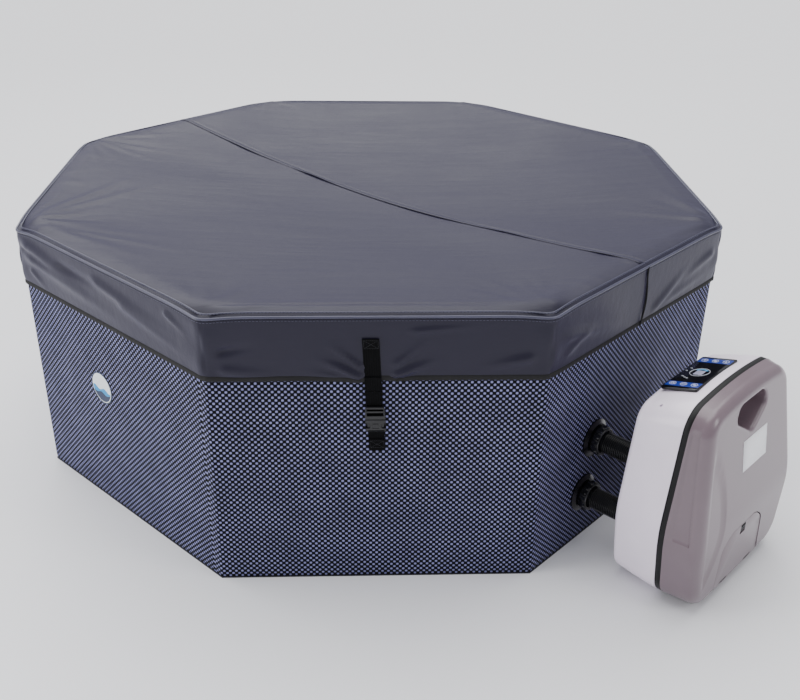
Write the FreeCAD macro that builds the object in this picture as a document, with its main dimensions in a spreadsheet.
import FreeCAD, Part
import math
import os
import re

# Octagonal foam-wall hot tub with a folding thermal cover and a pump and heater unit.
# Millimetres. The origin is the centre of the tub's underside and +Z is up.
# The face with the front strap looks along -Y; the unit stands off the face between -Y and +X.

SIZES = {
    # tub, as circumscribed radii of regular octagons and heights above the ground
    "tub_radius": 980,
    "wall_outer_radius": 977,
    "wall_inner_radius": 836,
    "liner_inner_radius": 833,
    "sheet_thickness": 3,
    "wall_top": 690,
    "mat_thickness": 20,
    # cover
    "cover_radius": 988,
    "skirt_inner_radius": 983.5,
    "skirt_bottom": 548.5,
    "skirt_top": 695,
    "edge_height": 698,
    "crown_radius": 925,
    "crown_height": 712,
    "dip_radius": 30,
    "dip_height": 655,
    "cover_sheet": 3,
    "cover_foam": 8,
    "half_gap": 0.3,
    # straps and buckles
    "strap_width": 37,
    "strap_thickness": 1.8,
    "cover_strap_top": 652,
    "cover_strap_end": 466,
    "tub_strap_top": 446,
    "tub_strap_end": 365,
    "socket_bottom": 424,
    "socket_top": 455,
    "plug_top": 487,
    "buckle_width": 46,
    "buckle_depth": 15,
    "prong_length": 24,
    # water and air lines, along the outward normal of the unit's side
    "side_turn": -45,
    "bore_radius": 21,
    "spigot_radius": 28,
    "passage_radius": 28.4,
    "hose_radius": 25,
    "hose_rib": 2,
    "flange_radius": 50,
    "nut_radius": 36,
    "nut_length": 24,
    "nut_clearance": 28.4,
    "wall_spigot_end": 934,
    "unit_spigot_end": 1030.3,
    "air_line_side": -145,
    "air_line_height": 290,
    "return_line_side": -172,
    "suction_line_side": 102,
    "water_line_height": 140,
    # pump and heater unit
    "unit_side": -35,
    "unit_back": 1050,
    "unit_split": 1172,
    "seal_front": 1187,
    "unit_front": 1275,
    "unit_base": 12,
    "shell_wall": 3,
    "back_inset": 14,
    "back_drop": 26,
    "lean_start": 200,
    "lean_depth": 46,
    "lean_end": 527,
    "front_round": 12,
    # filter behind the door
    "filter_side": -44,
    "filter_height": 97,
    "filter_radius": 62,
    "filter_back": 1120,
    "filter_mouth": 1258,
    "cartridge_radius": 50,
    # door
    "door_bottom": 28,
    "door_top": 168,
    "door_half_width": 112,
    "door_gap": 2,
    "door_thickness": 3,
    # pump, heater and blower
    "pump_radius": 50,
    "pump_back": 1136,
    "pump_front": 1180,
    "motor_front": 1262,
    "heater_radius": 24,
    "heater_bottom": 46,
    "heater_top": 172,
    "blower_radius": 60,
    "blower_back": 1100,
    "blower_front": 1146,
    # control panel
    "panel_length": 200,
    "panel_depth": 90,
    "panel_thickness": 8,
    "panel_tilt": -15.4,
    "panel_normal": 1105,
    "panel_side": -45,
    "panel_height": 501,
    "key_radius": 9,
    "key_well_radius": 9.4,
    "key_travel": 0.6,
    # drain
    "drain_height": 60,
    "drain_radius": 13.2,
}
COS_HALF = math.cos(math.radians(22.5))
UP = FreeCAD.Vector(0, 0, 1)
ALONG = FreeCAD.Vector(1, 0, 0)
ACROSS = FreeCAD.Vector(0, 1, 0)

doc = FreeCAD.newDocument("hot_tub")
sheet = doc.addObject("Spreadsheet::Sheet", "Sizes")
for row, (alias, value) in enumerate(SIZES.items(), start=1):
    sheet.set(f"A{row}", alias)
    sheet.set(f"B{row}", str(value))
    sheet.setAlias(f"B{row}", alias)
doc.recompute()

parts = []


def size(alias):
    return float(sheet.get(alias))


def formula(text):
    """Point each size named in an expression at its cell in the sheet."""
    return re.sub(r"[a-z]\w*", lambda m: "Sizes." + m[0] if m[0] in SIZES else m[0], str(text))


def bind(item, sizes):
    for prop, value in sizes.items():
        item.setExpression(prop, formula(value))
    return item


def primitive(kind, name, sizes, at=(0, 0, 0), turn=None):
    item = doc.addObject("Part::" + kind, name)
    item.Placement = FreeCAD.Placement(FreeCAD.Vector(), turn or FreeCAD.Rotation())
    bind(item, sizes)
    return bind(item, {"Placement.Base." + axis: value for axis, value in zip("xyz", at)})


def box(name, low, sides):
    return primitive("Box", name, dict(zip(("Length", "Width", "Height"), sides)), low)


def rod(name, radius, start, end, at, axis=ALONG):
    """A cylinder from start to end along an axis, through a point across that axis."""
    place = list(at)
    place.insert((ALONG, ACROSS, UP).index(axis), start)
    turn = FreeCAD.Rotation(UP, axis)
    return primitive("Cylinder", name, {"Radius": radius, "Height": f"({end}) - ({start})"}, place, turn)


def cut(name, base, *tools):
    item = doc.addObject("Part::Cut", name)
    item.Base = base
    item.Tool = tools[0] if len(tools) == 1 else fuse(name + "_tools", *tools)
    return item


def fuse(name, *shapes):
    item = doc.addObject("Part::MultiFuse", name)
    item.Shapes = list(shapes)
    return item


def common(name, base, tool):
    item = doc.addObject("Part::Common", name)
    item.Base = base
    item.Tool = tool
    return item


def group(name, *solids):
    item = doc.addObject("Part::Compound", name)
    item.Links = list(solids)
    return item


def sub_part(item, label, turn=0):
    """Label a finished sub-part, turn it about the tub's axis and list it for writing."""
    item.Label = label
    item.Placement = FreeCAD.Placement(FreeCAD.Vector(), FreeCAD.Rotation(UP, turn)) * item.Placement
    parts.append(item)
    return item


def octagon(name, radius, height):
    ring = doc.addObject("Part::RegularPolygon", name)
    ring.Polygon = 8
    ring.Placement = FreeCAD.Placement(FreeCAD.Vector(), FreeCAD.Rotation(UP, 22.5))
    return bind(ring, {"Circumradius": radius, "Placement.Base.z": height})


def octagon_block(name, radius, low, high):
    block = doc.addObject("Part::Prism", name)
    block.Polygon = 8
    block.Placement = FreeCAD.Placement(FreeCAD.Vector(), FreeCAD.Rotation(UP, 22.5))
    return bind(block, {"Circumradius": radius, "Height": f"({high}) - ({low})", "Placement.Base.z": low})


def octagon_loft(name, rings):
    """A solid through octagons given as (radius, height), from its underside round to its top."""
    loft = doc.addObject("Part::Loft", name)
    loft.Sections = [octagon(f"{name}_ring_{i}", r, z) for i, (r, z) in enumerate(rings)]
    loft.Solid = True
    loft.Ruled = True
    return loft


def panel(name, inner, outer, low, high):
    """One mitred wall panel, across +X, between two octagons' radii."""
    item = doc.addObject("PartDesign::Body", name)
    section = sketch(item, name + "_section", "XY_Plane", (0, 0, low))
    rounded_outline(section, [
        (size(r) * COS_HALF, side * size(r) * math.tan(math.radians(22.5)) * COS_HALF, 0)
        for r, side in ((inner, 1), (inner, -1), (outer, -1), (outer, 1))
    ])
    pad(item, name + "_pad", section, f"({high}) - ({low})")
    return item


def sketch(body, name, role, at):
    """A sketch on one of its body's origin planes, moved to a point in the body's own frame."""
    item = body.newObject("Sketcher::SketchObject", name)
    item.AttachmentSupport = [(next(f for f in body.Origin.OriginFeatures if f.Role == role), "")]
    item.MapMode = "FlatFace"
    order = {"XY_Plane": "xyz", "YZ_Plane": "zxy", "XZ_Plane": "xzy"}[role]
    for axis, value in zip(order, at):
        sign = "-1 * " if role == "XZ_Plane" and axis == "z" else ""
        item.setExpression("AttachmentOffset.Base." + axis, formula(f"{sign}({value})"))
    return item


def rounded_outline(section, corners):
    """Close a chain of lines through corners (x, y, radius), with a tangent arc at each radius."""
    ends = []
    for i, (x, y, radius) in enumerate(corners):
        here = FreeCAD.Vector(x, y, 0)
        before = FreeCAD.Vector(*corners[i - 1][:2], 0) - here
        after = FreeCAD.Vector(*corners[(i + 1) % len(corners)][:2], 0) - here
        before.normalize()
        after.normalize()
        half_turn = (math.pi - before.getAngle(after)) / 2
        reach = radius * math.tan(half_turn)
        start, end = here + before * reach, here + after * reach
        if radius:
            bisector = (before + after).normalize()
            middle = here + bisector * (radius / math.cos(half_turn) - radius)
            section.addGeometry(Part.Arc(start, middle, end))
        ends.append((start, end))
    for i, (start, end) in enumerate(ends):
        section.addGeometry(Part.LineSegment(ends[i - 1][1], start))


def pad(body, name, section, length, reverse=False):
    item = body.newObject("PartDesign::Pad", name)
    item.Profile = section
    item.Reversed = reverse
    bind(item, {"Length": length})
    section.Visibility = False
    return item


def turned(name, at, profile):
    """A turned piece whose axis lies along X; the profile is (distance along, radius)."""
    body = doc.addObject("PartDesign::Body", name)
    section = sketch(body, name + "_profile", "XY_Plane", at)
    rounded_outline(section, [(x, r, 0) for x, r in profile])
    spin = body.newObject("PartDesign::Revolution", name + "_turning")
    spin.Profile = section
    spin.ReferenceAxis = (section, ["H_Axis"])
    spin.Angle = 360
    return body


def copies(name, shape, turns):
    item = doc.addObject("Part::Feature", name)
    item.Shape = Part.makeCompound([shape.rotated(FreeCAD.Vector(), UP, turn) for turn in turns])
    return item


# ---- ground sheet, insulating mat and foam walls
sub_part(octagon_block("GroundSheet", "tub_radius", "0", "sheet_thickness"), "ground_sheet")
sub_part(octagon_block("FloorMat", "wall_inner_radius - 1", "sheet_thickness",
                       "sheet_thickness + mat_thickness"), "floor_mat")

LINES = {
    "air": ("air_line_side", "air_line_height"),
    "return": ("return_line_side", "water_line_height"),
    "suction": ("suction_line_side", "water_line_height"),
}
DRAIN = ("0", "drain_height")
SIDE = size("side_turn")
DRAIN_SIDE = 45
wall_face = size("tub_radius") * COS_HALF
liner_face = size("liner_inner_radius") * COS_HALF


def passages(name):
    """Borers for the three lines through the unit's side, and for the drain through its own."""
    lines = [rod(f"{name}_{line}", "passage_radius", 700, 1000, at) for line, at in LINES.items()]
    drain = rod(name + "_drain", "drain_radius + 0.4", 700, 1000, DRAIN)
    lines_group = group(name + "_lines", *lines)
    lines_group.Placement = FreeCAD.Placement(FreeCAD.Vector(), FreeCAD.Rotation(UP, SIDE))
    drain_group = group(name + "_outlet", drain)
    drain_group.Placement = FreeCAD.Placement(FreeCAD.Vector(), FreeCAD.Rotation(UP, DRAIN_SIDE))
    return lines_group, drain_group


foam_panel = panel("FoamPanel", "wall_inner_radius", "wall_outer_radius", "sheet_thickness", "wall_top")
doc.recompute()
foam_ring = copies("FoamRing", foam_panel.Shape, range(0, 360, 45))
sub_part(cut("FoamWalls", foam_ring, *passages("FoamPassage")), "foam_walls")

jacket_outer = octagon_block("JacketOuter", "tub_radius", "sheet_thickness", "wall_top")
jacket_inner = octagon_block("JacketInner", "wall_outer_radius", "0", "wall_top + 1")
sub_part(cut("Jacket", jacket_outer, jacket_inner, *passages("JacketPassage")), "outer_jacket")

liner_block = octagon_block("LinerBlock", "wall_inner_radius", "sheet_thickness + mat_thickness", "wall_top")
liner_lip = octagon_block("LinerLip", "tub_radius", "wall_top", "wall_top + sheet_thickness")
liner_basin = octagon_block("LinerBasin", "liner_inner_radius", "2 * sheet_thickness + mat_thickness",
                            "wall_top + 10")
sub_part(cut("Liner", fuse("LinerSolid", liner_block, liner_lip), liner_basin,
             *passages("LinerPassage")), "inner_liner")

# ---- air ring on the liner's floor, fed by a riser from the air fitting
RING_RADIUS = 742
RING_TUBE = 13
RISER_TUBE = 11
ELBOW_TUBE = 9
TUBE_WALL = 3
ring_height = "2 * sheet_thickness + mat_thickness + 13.4"
ring_tube, ring_bore = (
    primitive("Torus", name, {"Radius1": RING_RADIUS, "Radius2": radius}, (0, 0, ring_height))
    for name, radius in (("RingTube", RING_TUBE), ("RingBore", RING_TUBE - TUBE_WALL))
)
riser_normal = math.sqrt(RING_RADIUS ** 2 - size("air_line_side") ** 2)
riser_at = (riser_normal, "air_line_side")
riser_top = "air_line_height + 16"
riser = rod("Riser", RISER_TUBE, ring_height, riser_top, riser_at, UP)
riser_bore = rod("RiserBore", RISER_TUBE - TUBE_WALL, ring_height, f"{riser_top} - {TUBE_WALL}",
                 riser_at, UP)
elbow = rod("RiserElbow", ELBOW_TUBE, riser_normal, liner_face - 6.4, LINES["air"])
elbow_bore = rod("RiserElbowBore", ELBOW_TUBE - TUBE_WALL, riser_normal, liner_face, LINES["air"])
air_ring = cut("AirRing", fuse("AirRingSolid", ring_tube, riser, elbow), ring_bore, riser_bore, elbow_bore)
sub_part(air_ring, "air_ring", SIDE)

# ---- fittings through the wall, their flange nuts and the inlet strainers
spigot, bore, flange = size("spigot_radius"), size("bore_radius"), size("flange_radius")
INNER_FLANGE = 46
fittings = [
    turned(line.title() + "WallFitting", (0, *at), [
        (liner_face - 6, bore), (liner_face - 6, INNER_FLANGE), (liner_face - 0.2, INNER_FLANGE),
        (liner_face - 0.2, spigot), (size("wall_spigot_end"), spigot), (size("wall_spigot_end"), bore),
    ])
    for line, at in LINES.items()
]
sub_part(group("WallFittings", *fittings), "wall_fittings", SIDE)

FLANGE_THICKNESS = 9
flange_nuts = [
    turned(line.title() + "FlangeNut", (0, *at), [
        (wall_face + 0.3, spigot + 0.2), (wall_face + 0.3, flange),
        (wall_face + 4, flange), (wall_face + FLANGE_THICKNESS, flange - 10),
        (wall_face + FLANGE_THICKNESS, spigot + 0.2),
    ])
    for line, at in LINES.items()
]
sub_part(group("FlangeNuts", *flange_nuts), "wall_flange_nuts", SIDE)

STRAINER_RADIUS = 40
STRAINER_BACK = liner_face - 6.2
STRAINER_FRONT = STRAINER_BACK - 16
STRAINER_WALL = 3
SLOT_COUNT = 7
SLOT_PITCH = 9
SLOT_LENGTH = 50
SLOT_WIDTH = 4
strainers = []
for line in ("return", "suction"):
    across, height = LINES[line]
    title = line.title()
    cup = rod(title + "Strainer", STRAINER_RADIUS, STRAINER_FRONT, STRAINER_BACK, LINES[line])
    hollow = rod(title + "StrainerHollow", STRAINER_RADIUS - STRAINER_WALL, STRAINER_FRONT + STRAINER_WALL,
                 liner_face, LINES[line])
    slots = []
    for i in range(SLOT_COUNT):
        rise = SLOT_PITCH * (i - SLOT_COUNT // 2) - SLOT_WIDTH / 2
        low = (STRAINER_FRONT - 18, f"{across} - {SLOT_LENGTH / 2}", f"{height} + {rise}")
        slots.append(box(f"{title}Slot{i}", low, (30, SLOT_LENGTH, SLOT_WIDTH)))
    strainers.append(cut(title + "StrainerCap", cup, hollow, *slots))
sub_part(group("Strainers", *strainers), "line_strainers", SIDE)

# ---- drain through the wall between +X and +Y, with a screw cap
drain_r = size("drain_radius")
drain_profile = [
    (liner_face - 4, 9), (liner_face - 4, 30), (liner_face - 0.2, 30), (liner_face - 0.2, drain_r),
    (wall_face + 0.3, drain_r), (wall_face + 0.3, 30), (wall_face + 5, 30), (wall_face + 5, drain_r),
    (wall_face + 24, drain_r), (wall_face + 24, 9),
]
sub_part(turned("DrainValve", (0, *DRAIN), drain_profile), "drain_valve", DRAIN_SIDE)
cap_profile = [
    (wall_face + 6, drain_r + 0.3), (wall_face + 6, drain_r + 4), (wall_face + 28, drain_r + 4),
    (wall_face + 28, 0), (wall_face + 25, 0), (wall_face + 25, drain_r + 0.3),
]
cap_core = turned("DrainCapCore", (0, *DRAIN), cap_profile)
cap_grip = box("DrainCapGrip", (wall_face + 27, -14, "drain_height - 2.5"), (9, 28, 5))
sub_part(fuse("DrainCap", cap_core, cap_grip), "drain_cap", DRAIN_SIDE)

# ---- corrugated hoses and their union nuts
hose_start = size("wall_spigot_end") + 0.3
hose_end = size("unit_spigot_end") - 0.3
RIB_COUNT = 13
CUFF = 9
rib_pitch = (hose_end - hose_start - 2 * CUFF) / RIB_COUNT
hose_r, rib = size("hose_radius"), size("hose_rib")
hose_profile = [(hose_start, bore), (hose_start, spigot - 0.5), (hose_start + CUFF, spigot - 0.5)]
for i in range(RIB_COUNT):
    left = hose_start + CUFF + i * rib_pitch
    hose_profile += [(left, hose_r), (left + rib_pitch * 0.35, hose_r),
                     (left + rib_pitch * 0.5, hose_r + rib), (left + rib_pitch * 0.85, hose_r + rib)]
hose_profile += [(hose_end - CUFF, hose_r), (hose_end - CUFF, spigot - 0.5), (hose_end, spigot - 0.5),
                 (hose_end, bore)]
hoses = [turned(line.title() + "Hose", (0, *at), hose_profile) for line, at in LINES.items()]
sub_part(group("Hoses", *hoses), "corrugated_hoses", SIDE)

NUT_RIBS = 12
nut_spans = {
    "wall": (wall_face + FLANGE_THICKNESS + 1, wall_face + FLANGE_THICKNESS + 1 + size("nut_length")),
    "unit": (size("unit_back") - 1 - size("nut_length"), size("unit_back") - 1),
}
for line, (across, height) in LINES.items():
    for end, (low, high) in nut_spans.items():
        name = f"{line.title()}{end.title()}Nut"
        core = rod(name + "Core", "nut_radius", low, high, (across, height))
        ribs = []
        for i in range(NUT_RIBS // 2):
            rib_bar = box(f"{name}Rib{i}", (low + 3, -size("nut_radius") - 2, -3.5),
                          (high - low - 6, "2 * nut_radius + 4", 7))
            rib_bar.Placement.Rotation = FreeCAD.Rotation(ALONG, i * 360 / NUT_RIBS)
            turn = math.radians(i * 360 / NUT_RIBS)
            corner = (-size("nut_radius") - 2, -3.5)
            bind(rib_bar, {
                "Placement.Base.y": f"{across} + {corner[0] * math.cos(turn) - corner[1] * math.sin(turn)}",
                "Placement.Base.z": f"{height} + {corner[0] * math.sin(turn) + corner[1] * math.cos(turn)}",
            })
            ribs.append(rib_bar)
        hole = rod(name + "Hole", "nut_clearance", low - 1, high + 1, (across, height))
        sub_part(cut(name, fuse(name + "Solid", core, *ribs), hole), f"{line}_{end}_nut", SIDE)

# ---- tub straps and buckle sockets, on the four sides that face along X and Y
STRAP_TURNS = {"cover_near": (-90, 180), "cover_far": (0, 90)}
ALL_TURNS = (-90, 180, 0, 90)
skirt_face = size("cover_radius") * COS_HALF
strap_low = wall_face + 0.3
tub_strap = box("TubStrap", (strap_low, "-strap_width / 2", "tub_strap_end"),
                ("strap_thickness", "strap_width", "tub_strap_top - tub_strap_end"))
SOCKET_BACK = strap_low + size("strap_thickness") + 0.3
CAVITY_BACK = skirt_face + size("strap_thickness") + 0.3
CAVITY_DEPTH = 6
socket_block = box("SocketBlock", (SOCKET_BACK, "-buckle_width / 2", "socket_bottom"),
                   ("buckle_depth", "buckle_width", "socket_top - socket_bottom"))
socket_cavity = box("SocketCavity", (CAVITY_BACK, "-buckle_width / 2 + 5", "socket_bottom + 4"),
                    (CAVITY_DEPTH, "buckle_width - 10", "socket_top - socket_bottom"))
socket_window = box("SocketWindow", (SOCKET_BACK + 3, "-buckle_width / 2 - 1", "socket_bottom + 10"),
                    (size("buckle_depth") - 6, "buckle_width + 2", 12))
buckle_socket = cut("BuckleSocket", socket_block, socket_cavity, socket_window)

cover_strap = box("CoverStrap", (skirt_face + 0.2, "-strap_width / 2", "cover_strap_end"),
                  ("strap_thickness", "strap_width", "cover_strap_top - cover_strap_end"))
PLUG_DEPTH = 4.6
plug_face = CAVITY_BACK + 0.4
plug_frame = box("PlugFrame", (plug_face, "-buckle_width / 2", "socket_top + 0.4"),
                 (PLUG_DEPTH, "buckle_width", "plug_top - socket_top - 0.4"))
plug_slots = [
    box(f"PlugSlot{i}", (plug_face - 1, "-buckle_width / 2 + 4", f"socket_top + {low}"),
        (PLUG_DEPTH + 2, "buckle_width - 8", 6))
    for i, low in enumerate((9, 20))
]
prongs = [
    box(f"Prong{i}", (plug_face, f"{side} * 13 - 3.5", "socket_top + 1 - prong_length"),
        (PLUG_DEPTH, 7, "prong_length"))
    for i, side in enumerate((-1, 1))
]
guide = box("PlugGuide", (plug_face, -2, "socket_top + 1 - prong_length"), (PLUG_DEPTH, 4, "prong_length"))
buckle_plug = fuse("BucklePlug", cut("PlugLadder", plug_frame, *plug_slots), *prongs, guide)
doc.recompute()

sub_part(copies("TubStraps", tub_strap.Shape, ALL_TURNS), "tub_straps")
sub_part(copies("BuckleSockets", buckle_socket.Shape, ALL_TURNS), "buckle_sockets")
for name, turn in zip(("front", "left", "right", "back"), ALL_TURNS):
    sub_part(copies(name.title() + "Plug", buckle_plug.Shape, (turn,)), name + "_buckle_plug")

# ---- cover in two halves, hinged on the seam that runs across to the unit's side
HALF = 1200
skirt_panel = panel("SkirtPanel", "skirt_inner_radius", "cover_radius", "skirt_bottom", "skirt_top")
doc.recompute()
for half, side in (("near", -1), ("far", 1)):
    title = "Cover" + half.title()
    corner = "half_gap" if side > 0 else f"-half_gap - {HALF}"
    half_space = box(title + "Half", (-HALF, corner, 0), (2 * HALF, HALF, HALF))
    top = octagon_loft(title + "Skin", [
        ("dip_radius", "dip_height - cover_sheet"),
        ("crown_radius", "crown_height - cover_sheet"),
        ("cover_radius", "skirt_top"),
        ("cover_radius", "edge_height"),
        ("crown_radius", "crown_height"),
        ("dip_radius", "dip_height"),
    ])
    sub_part(common(title + "Top", top, half_space), f"cover_{half}_top", SIDE)
    foam_top = "(cover_sheet + 0.2)"
    foam = octagon_loft(title + "Foam", [
        ("dip_radius", f"dip_height - {foam_top} - cover_foam"),
        ("crown_radius", f"crown_height - {foam_top} - cover_foam"),
        ("crown_radius", f"crown_height - {foam_top}"),
        ("dip_radius", f"dip_height - {foam_top}"),
    ])
    sub_part(common(title + "Insulation", foam, half_space), f"cover_{half}_foam", SIDE)
    panel_turns = [t for t in range(0, 360, 45) if t % 180 == 0 or (t < 180) == (side > 0)]
    skirt_ring = copies(title + "SkirtRing", skirt_panel.Shape, panel_turns)
    sub_part(common(title + "Skirt", skirt_ring, half_space), f"cover_{half}_skirt", SIDE)
    straps = copies(title + "Straps", cover_strap.Shape, STRAP_TURNS["cover_" + half])
    sub_part(straps, f"cover_{half}_straps")

# ---- pump and heater unit: two shells and a seal between them, on one outline
HALF_OUTLINE = [  # (distance from the centre line, height, corner radius), bottom to shoulder
    (212, 12, 36),
    (243, 205, 300),
    (195, 508, 34),
]
APEX = (0, 533, 900)


def unit_outline(section, inset=0, drop=0):
    """The unit's outline, brought in all round by inset, with its arch lowered by drop."""
    side = [
        (x - inset, z + inset if i == 0 else z - inset * i / 2 - drop * i / 2, max(r - inset, 5))
        for i, (x, z, r) in enumerate(HALF_OUTLINE)
    ]
    apex = (APEX[0], APEX[1] - inset - drop, APEX[2])
    rounded_outline(section, side + [apex] + [(-x, z, r) for x, z, r in reversed(side)])


def unit_block(name, sections, body=None):
    """A loft along X through the unit's outline; sections are (distance, inset, drop)."""
    body = body or doc.addObject("PartDesign::Body", name)
    sketches = []
    for i, (along, inset, drop) in enumerate(sections):
        section = sketch(body, f"{name}_section_{i}", "YZ_Plane", (along, "unit_side", 0))
        unit_outline(section, inset, drop)
        sketches.append(section)
    loft = body.newObject("PartDesign::AdditiveLoft", name + "_loft")
    loft.Profile = sketches[0]
    loft.Sections = sketches[1:]
    loft.Ruled = True
    body.Tip = loft
    return body


wall = size("shell_wall")
inset, drop = size("back_inset"), size("back_drop")
back, split, seal, front = size("unit_back"), size("unit_split"), size("seal_front"), size("unit_front")
unit_side, base = size("unit_side"), size("unit_base")

EDGE = 14
rear_outer = unit_block("RearOuter", [(back, inset + EDGE, drop), (back + EDGE, inset, drop), (split, 0, 0)])
rear_inner = unit_block("RearInner", [
    (back + wall, inset + EDGE + wall, drop), (back + EDGE + wall, inset + wall, drop), (split + 1, wall, 0)])
spigots = [rod(f"{line.title()}Spigot", "spigot_radius", "unit_spigot_end", back + 2, at)
           for line, at in LINES.items()]
spigot_bores = [rod(f"{line.title()}SpigotBore", "bore_radius", 1000, back + 10, at)
                for line, at in LINES.items()]

# pedestal that carries the tilted control panel, and its matching hollow
TILT = FreeCAD.Rotation(ACROSS, size("panel_tilt"))
panel_at = ("panel_normal", "panel_side", "panel_height")


def tilted_box(name, low, sides):
    """A box in the control panel's own tilted frame: X from the tub side out, Z off its face."""
    corner = TILT.multVec(FreeCAD.Vector(*low))
    at = [f"{origin} + {offset}" for origin, offset in zip(panel_at, corner)]
    return primitive("Box", name, dict(zip(("Length", "Width", "Height"), sides)), at, TILT)


def tilted_rod(name, radius, centre, low, high):
    foot = TILT.multVec(FreeCAD.Vector(*centre, low))
    at = [f"{origin} + {offset}" for origin, offset in zip(panel_at, foot)]
    return primitive("Cylinder", name, {"Radius": radius, "Height": high - low}, at, TILT)


length, depth = size("panel_length"), size("panel_depth")
pedestal = tilted_box("Pedestal", (-depth / 2 + 6, -length / 2 + 8, -40), (depth - 12, length - 16, 40))
pedestal_hollow = tilted_box("PedestalHollow", (-depth / 2 + 9, -length / 2 + 11, -60),
                             (depth - 18, length - 22, 57))
SCREW_PLACES = [(-175, 60), (175, 60), (-195, 240), (195, 240), (-150, 430), (150, 430)]
screw_holes = [rod(f"ScrewHole{i}", 2.3, back - 1, back + 10, (unit_side + u, z))
               for i, (u, z) in enumerate(SCREW_PLACES)]
GLAND_AT = (back + 60, 75)
GLAND_INNER, GLAND_SHOULDER, GLAND_OUTER = unit_side + 205, unit_side + 218, unit_side + 230
gland_hole = rod("GlandHole", 8.3, GLAND_INNER - 5, GLAND_OUTER, GLAND_AT, ACROSS)
rear_solid = fuse("RearSolid", rear_outer, pedestal, *spigots)
rear_hollows = fuse("RearHollows", rear_inner, pedestal_hollow)
panel_seat = tilted_box("PanelSeat", (-depth / 2 - 0.3, -length / 2 - 0.3, -0.1),
                        (depth + 0.6, length + 0.6, "panel_thickness + 10"))
rear_shell = cut("RearShell", rear_solid, rear_hollows, panel_seat, *spigot_bores, *screw_holes, gland_hole)
sub_part(rear_shell, "rear_shell", SIDE)

seal_outer = unit_block("SealOuter", [(split, 0.5, 0), (seal, 0.5, 0)])
seal_inner = unit_block("SealInner", [(split - 1, 7, 0), (seal + 1, 7, 0)])
sub_part(cut("ShellSeal", seal_outer, seal_inner), "shell_seal", SIDE)


def lean_cutter(name, setback):
    """Wedge that takes the upper part of the front back to its leaning face."""
    body = doc.addObject("PartDesign::Body", name)
    section = sketch(body, name + "_profile", "XZ_Plane", (0, -400, 0))
    start, end, lean = size("lean_start"), size("lean_end"), size("lean_depth")
    rounded_outline(section, [
        (front - setback, start, 0), (front - setback - lean, end, 0),
        (front - setback - lean, end + 60, 0), (front + 60, end + 60, 0), (front + 60, start, 0),
    ])
    pad(body, name + "_pad", section, 800, reverse=True)
    return body


ROUND = size("front_round")
front_outer = unit_block("FrontOuter", [(seal, 0, 0), (front - ROUND, 5, 0), (front, 5 + ROUND, 0)])
front_inner = unit_block("FrontInner", [
    (seal - 1, wall, 0), (front - ROUND - wall, 5 + wall, 0), (front - wall, 5 + ROUND + wall, 0)])
front_skin = cut("FrontSkin", front_outer, lean_cutter("LeanOuter", 0))
front_core = cut("FrontCore", front_inner, lean_cutter("LeanInner", wall))

HANDLE = [(0, 402, 22), (84, 470, 26), (62, 510, 34), (-62, 510, 34), (-84, 470, 26)]
GRIP_FLOOR = 1196


def handle_block(name, inset, low, high):
    body = doc.addObject("PartDesign::Body", name)
    section = sketch(body, name + "_outline", "YZ_Plane", (low, "unit_side", 0))
    centre = (0, 462)
    rounded_outline(section, [
        (u - math.copysign(inset, u) if u else u, z + (inset if z < centre[1] else -inset), r - inset / 2)
        for u, z, r in HANDLE
    ])
    pad(body, name + "_pad", section, high - low)
    return body


handle_cup = common("HandleCup", handle_block("HandleOuter", -3, GRIP_FLOOR - wall, front), front_outer)
cup_skin = cut("HandleCupTrimmed", handle_cup, lean_cutter("LeanHandle", 0))
handle_hollow = handle_block("HandleHollow", 0, GRIP_FLOOR, front + 5)

DOOR_CENTRE = size("filter_side")


def door_outline(section, gap):
    half, low, high = size("door_half_width") + gap, size("door_bottom") - gap, size("door_top") + gap
    rounded_outline(section, [
        (-half, low, 6), (half, low, 6), (half - 12, high - 30, 40), (half - 52, high, 60),
        (-half + 52, high, 60), (-half + 12, high - 30, 40),
    ])


def door_block(name, gap, low, high):
    body = doc.addObject("PartDesign::Body", name)
    section = sketch(body, name + "_outline", "YZ_Plane", (low, DOOR_CENTRE, 0))
    door_outline(section, gap)
    pad(body, name + "_pad", section, high - low)
    return body


door_opening = door_block("DoorOpening", size("door_gap"), front - 8, front + 5)
front_solid = fuse("FrontSolid", cut("FrontHollow", front_skin, front_core), cup_skin)
front_shell = cut("FrontShell", front_solid, handle_hollow, door_opening)
sub_part(front_shell, "front_shell", SIDE)

# ---- filter door with its latch, the filter housing, cap and cartridge
door_back = front - size("door_thickness") - 0.5
door_plate = door_block("DoorPlate", 0, door_back, front - 0.5)
LATCH_HALF = 12
LATCH_LOW = 145
LATCH_HIGH = 164.5
window_low = (door_back - 1, DOOR_CENTRE - LATCH_HALF - 0.5, LATCH_LOW - 6)
latch_window = box("LatchWindow", window_low, (6, 2 * LATCH_HALF + 1, 26))
HINGE_SIDE = 62
HINGE_HALF = 16
hinge_lugs = [
    rod(f"HingeLug{i}", 2.5, DOOR_CENTRE + u - HINGE_HALF, DOOR_CENTRE + u + HINGE_HALF,
        (door_back, "door_bottom + 3"), ACROSS)
    for i, u in enumerate((-HINGE_SIDE, HINGE_SIDE))
]
door_frame = cut("DoorWithWindow", door_plate, latch_window)
sub_part(fuse("FilterDoor", door_frame, *hinge_lugs), "filter_door", SIDE)
latch_plate = box("LatchPlate", (door_back + 0.4, DOOR_CENTRE - LATCH_HALF, LATCH_LOW),
                  (2.4, 2 * LATCH_HALF, LATCH_HIGH - LATCH_LOW))
latch_tab = box("LatchTab", (door_back + 2, DOOR_CENTRE - 8, LATCH_HIGH - 6.5), (3.2, 16, 5))
sub_part(fuse("DoorLatch", latch_plate, latch_tab), "door_latch", SIDE)

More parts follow.
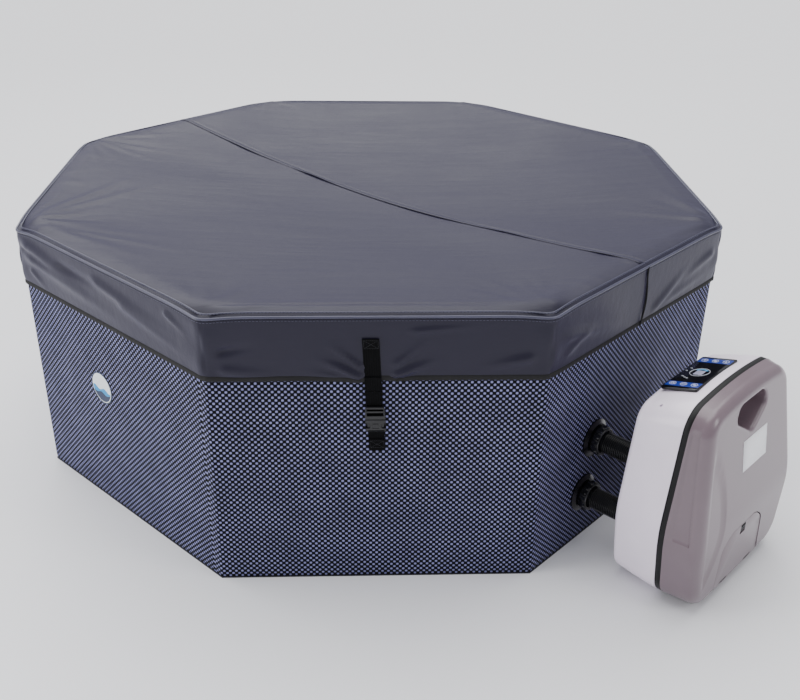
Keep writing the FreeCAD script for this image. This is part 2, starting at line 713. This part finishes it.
filter_at = ("filter_side", "filter_height")
filter_r = size("filter_radius")
FILTER_WALL = 5
mouth = size("filter_mouth")
housing = rod("HousingBody", filter_r, "filter_back", mouth, filter_at)
housing_bore = rod("HousingBore", filter_r - FILTER_WALL, "filter_back + 5", mouth + 1, filter_at)
FILTER_INLET_HEIGHT = 110
FILTER_OUTLET_HEIGHT = 72
PIPE = 14
PIPE_BORE = 11
pipe_normal = (size("pump_back") + size("pump_front")) / 2
INLET_LINE = (pipe_normal, FILTER_INLET_HEIGHT)
OUTLET_LINE = (pipe_normal, FILTER_OUTLET_HEIGHT)
INLET_END = DOOR_CENTRE + 72
OUTLET_END = DOOR_CENTRE - 70
inlet_stub = rod("FilterInlet", PIPE, DOOR_CENTRE + 30, INLET_END, INLET_LINE, ACROSS)
inlet_bore = rod("FilterInletBore", PIPE_BORE, DOOR_CENTRE, INLET_END + 8, INLET_LINE, ACROSS)
outlet_stub = rod("FilterOutlet", PIPE, OUTLET_END, DOOR_CENTRE - 30, OUTLET_LINE, ACROSS)
outlet_bore = rod("FilterOutletBore", PIPE_BORE, OUTLET_END - 10, DOOR_CENTRE, OUTLET_LINE, ACROSS)
housing_solid = fuse("HousingSolid", housing, inlet_stub, outlet_stub)
sub_part(cut("FilterHousing", housing_solid, housing_bore, inlet_bore, outlet_bore), "filter_housing", SIDE)

CARTRIDGE_BORE = 22
cartridge_body = rod("CartridgeBody", "cartridge_radius", "filter_back + 8", mouth - 14, filter_at)
cartridge_bore = rod("CartridgeBore", CARTRIDGE_BORE, "filter_back", mouth, filter_at)
sub_part(cut("FilterCartridge", cartridge_body, cartridge_bore), "filter_cartridge", SIDE)

cap_disc = rod("CapDisc", filter_r, mouth + 0.3, mouth + 4.3, filter_at)
cap_plug = rod("CapPlug", filter_r - FILTER_WALL - 0.4, mouth - 8, mouth + 0.3, filter_at)
cap_bar = box("CapBar", (mouth + 4, "filter_side - 34", "filter_height - 5"), (7, 68, 10))
sub_part(fuse("FilterCap", cap_disc, cap_plug, cap_bar), "filter_cap", SIDE)

# ---- circulation pump: casing, impeller and motor on the suction line
pump_at = ("suction_line_side", "water_line_height")
pump_side = size("suction_line_side")
pump_back, pump_front, pump_r = size("pump_back"), size("pump_front"), size("pump_radius")
SHAFT = 5
SHAFT_BORE = SHAFT + 0.06
casing = rod("CasingBody", pump_r, pump_back, pump_front, pump_at)
casing_inlet = rod("CasingInlet", 24, back + wall + 0.3, pump_back + 2, pump_at)
casing_inlet_bore = rod("CasingInletBore", 19, back, pump_back + 6, pump_at)
CASING_END = pump_side - 62
casing_outlet = rod("CasingOutlet", PIPE, CASING_END, pump_side - 20, INLET_LINE, ACROSS)
casing_outlet_bore = rod("CasingOutletBore", PIPE_BORE, CASING_END - 8, pump_side - 20, INLET_LINE, ACROSS)
casing_hollow = rod("CasingHollow", pump_r - 4, pump_back + 4, pump_front - 4, pump_at)
casing_shaft_hole = rod("CasingShaftHole", SHAFT_BORE, pump_front - 10, pump_front + 1, pump_at)
casing_solid = fuse("CasingSolid", casing, casing_inlet, casing_outlet)
pump_casing = cut("PumpCasing", casing_solid, casing_inlet_bore, casing_outlet_bore, casing_hollow,
                  casing_shaft_hole)
sub_part(pump_casing, "pump_casing", SIDE)

motor_body = rod("MotorBody", 40, pump_front + 0.2, "motor_front", pump_at)
motor_bore = rod("MotorBore", SHAFT_BORE, pump_front - 1, pump_front + 42, pump_at)
sub_part(cut("PumpMotor", motor_body, motor_bore), "pump_motor", SIDE)


def wheel(name, at, radius, shaft, hub_low, hub_high, shaft_end, blades):
    """A bladed wheel on a shaft along X: a back plate, a hub and straight blades."""
    plate = rod(name + "Plate", radius, hub_high - 3, hub_high, at)
    hub = rod(name + "Hub", shaft * 2.4, hub_low, hub_high, at)
    stem = rod(name + "Shaft", shaft, hub_high - 1, shaft_end, at)
    vanes = []
    for i in range(blades):
        turn = FreeCAD.Rotation(ALONG, i * 360 / blades)
        offset = turn.multVec(FreeCAD.Vector(0, shaft, -1.5))
        sides = {"Length": hub_high - hub_low - 1, "Width": radius - shaft, "Height": 3}
        corner = (hub_low, f"{at[0]} + {offset.y}", f"{at[1]} + {offset.z}")
        vanes.append(primitive("Box", f"{name}Vane{i}", sides, corner, turn))
    return fuse(name, plate, hub, stem, *vanes)


pump_rotor = wheel("PumpRotor", pump_at, 41, SHAFT, pump_back + 12, pump_front - 8, pump_front + 38, 6)
sub_part(pump_rotor, "pump_rotor", SIDE)

# ---- heater on the return line, with its element
heater_r = size("heater_radius")
heater_side = size("return_line_side")
heater_at = (pipe_normal, "return_line_side")
heater_body = rod("HeaterBody", heater_r, "heater_bottom", "heater_top", heater_at, UP)
heater_bore = rod("HeaterBore", heater_r - 2, "heater_bottom + 2", "heater_top - 2", heater_at, UP)
HEATER_END = heater_side + 34
heater_inlet = rod("HeaterInlet", PIPE, heater_side + 12, HEATER_END, OUTLET_LINE, ACROSS)
heater_inlet_bore = rod("HeaterInletBore", PIPE_BORE, heater_side, HEATER_END + 6, OUTLET_LINE, ACROSS)
heater_outlet = rod("HeaterOutlet", 20, back + wall + 0.3, pipe_normal - 10, LINES["return"])
heater_outlet_bore = rod("HeaterOutletBore", 17, back, pipe_normal, LINES["return"])
element_hole = rod("ElementHole", 7, "heater_top - 5", "heater_top + 5", heater_at, UP)
heater_solid = fuse("HeaterSolid", heater_body, heater_inlet, heater_outlet)
heater_tube = cut("HeaterTube", heater_solid, heater_bore, heater_inlet_bore, heater_outlet_bore,
                  element_hole)
sub_part(heater_tube, "heater_tube", SIDE)
element_rod = rod("ElementRod", 5, "heater_bottom + 8", "heater_top + 14", heater_at, UP)
element_cap = rod("ElementCap", 12, "heater_top + 0.2", "heater_top + 6", heater_at, UP)
sub_part(fuse("HeaterElement", element_rod, element_cap), "heater_element", SIDE)

# ---- straight pipes from pump to filter and from filter to heater
PIPE_GAP = 0.2
pipe_runs = {
    "PumpToFilter": (INLET_END, CASING_END, INLET_LINE),
    "FilterToHeater": (HEATER_END, OUTLET_END, OUTLET_LINE),
}
pipes = []
for name, (low, high, line) in pipe_runs.items():
    run = rod(name, PIPE, low + PIPE_GAP, high - PIPE_GAP, line, ACROSS)
    run_bore = rod(name + "Bore", PIPE_BORE, low - 1, high + 1, line, ACROSS)
    pipes.append(cut(name + "Pipe", run, run_bore))
sub_part(group("WaterPipes", *pipes), "water_pipes", SIDE)

# ---- air blower: housing, fan and motor on the air line
blower_at = LINES["air"]
blower_back, blower_front, blower_r = size("blower_back"), size("blower_front"), size("blower_radius")
AXLE = 3
blower_body = rod("BlowerBody", blower_r, blower_back, blower_front, blower_at)
blower_neck = rod("BlowerNeck", 24, back + wall + 0.3, blower_back + 2, blower_at)
blower_neck_bore = rod("BlowerNeckBore", 20, back, blower_back + 10, blower_at)
blower_hollow = rod("BlowerHollow", blower_r - 3, blower_back + 3, blower_front - 3, blower_at)
blower_axle_hole = rod("BlowerAxleHole", AXLE + 0.06, blower_front - 5, blower_front + 1, blower_at)
blower_solid = fuse("BlowerSolid", blower_body, blower_neck)
blower_housing = cut("BlowerHousing", blower_solid, blower_neck_bore, blower_hollow, blower_axle_hole)
sub_part(blower_housing, "blower_housing", SIDE)
blower_motor_body = rod("BlowerMotorBody", 28, blower_front + 0.2, blower_front + 42, blower_at)
blower_motor_bore = rod("BlowerMotorBore", AXLE + 0.06, blower_front - 1, blower_front + 26, blower_at)
sub_part(cut("BlowerMotor", blower_motor_body, blower_motor_bore), "blower_motor", SIDE)
fan = wheel("BlowerFan", blower_at, 50, AXLE, blower_back + 10, blower_front - 8, blower_front + 22, 10)
sub_part(fan, "blower_fan", SIDE)

# ---- control panel with six keys, and the control board below it
panel_slab = tilted_box("PanelSlab", (-depth / 2, -length / 2, 0), (depth, length, "panel_thickness"))
KEY_PITCH = 27
KEY_ROW = 76
KEY_WELL = 3
panel_top = size("panel_thickness")
key_places = {
    f"{row}_key_{i + 1}": ((i - 1) * KEY_PITCH, side * KEY_ROW)
    for row, side in (("left", -1), ("right", 1)) for i in range(3)
}
well_low = panel_top - KEY_WELL
wells = [
    tilted_rod(name.title().replace("_", "") + "Well", "key_well_radius", centre, well_low, panel_top + 1)
    for name, centre in key_places.items()
]
sub_part(cut("ControlPanel", panel_slab, *wells), "control_panel", SIDE)
key_low = well_low + size("key_travel") + 0.4
for name, centre in key_places.items():
    key = tilted_rod(name.title().replace("_", ""), "key_radius", centre, key_low, panel_top + 0.4)
    sub_part(group(name.title().replace("_", "") + "Piece", key), name, SIDE)
BOARD_LOW = 395
board = box("ControlBoard", (back + 22, unit_side - 60, BOARD_LOW), (1.6, 120, 80))
board_chips = [
    box(f"BoardPart{i}", (back + 23.4, unit_side - 50 + 34 * i, BOARD_LOW + 10 + 14 * i), (14, 22, 26))
    for i in range(3)
]
sub_part(fuse("ControlBoardAssembly", board, *board_chips), "control_board", SIDE)

# ---- feet, case screws and the gland for the mains lead
FOOT_RADIUS = 14
FOOT_SIDE = 150
foot_pads = []
for along, shell in ((back + 34, rear_outer), (front - 36, front_outer)):
    for side in (1, -1):
        foot_at = (along, unit_side + side * FOOT_SIDE)
        name = f"Foot{len(foot_pads)}"
        foot_pads.append(cut(name, rod(name + "Pad", FOOT_RADIUS, 0, base + inset, foot_at, UP), shell))
sub_part(group("Feet", *foot_pads), "feet", SIDE)
screws = []
for i, (u, z) in enumerate(SCREW_PLACES):
    head = rod(f"ScrewHead{i}", 4.5, back - 2.6, back - 0.1, (unit_side + u, z))
    shank = rod(f"ScrewShank{i}", 2, back - 1, back + 16, (unit_side + u, z))
    screws.append(fuse(f"Screw{i}", head, shank))
sub_part(group("CaseScrews", *screws), "case_screws", SIDE)
gland_body = rod("GlandBody", 8, GLAND_INNER, GLAND_OUTER, GLAND_AT, ACROSS)
gland_collar = rod("GlandCollar", 11, GLAND_SHOULDER, GLAND_OUTER, GLAND_AT, ACROSS)
gland_bore = rod("GlandBore", 4.5, GLAND_INNER - 5, GLAND_OUTER + 5, GLAND_AT, ACROSS)
sub_part(cut("CableGland", fuse("GlandSolid", gland_body, gland_collar), gland_bore), "cable_gland", SIDE)

# ---- rebuild, test and write
doc.recompute()
faults = [item.Label for item in doc.Objects if {"Invalid", "Error"} & set(item.State)]
faults += [item.Label for item in parts if item.Shape.isNull() or not item.Shape.isValid()]
if faults:
    raise SystemExit(f"failed: {sorted(set(faults))}")
os.makedirs("parts", exist_ok=True)
for item in parts:
    item.Shape.exportStep(f"parts/{item.Label}.step")
    print(f"{item.Label:22} solids {len(item.Shape.Solids):2}  volume {item.Shape.Volume / 1000:10.1f} cm3")
print(len(parts), "sub-parts")
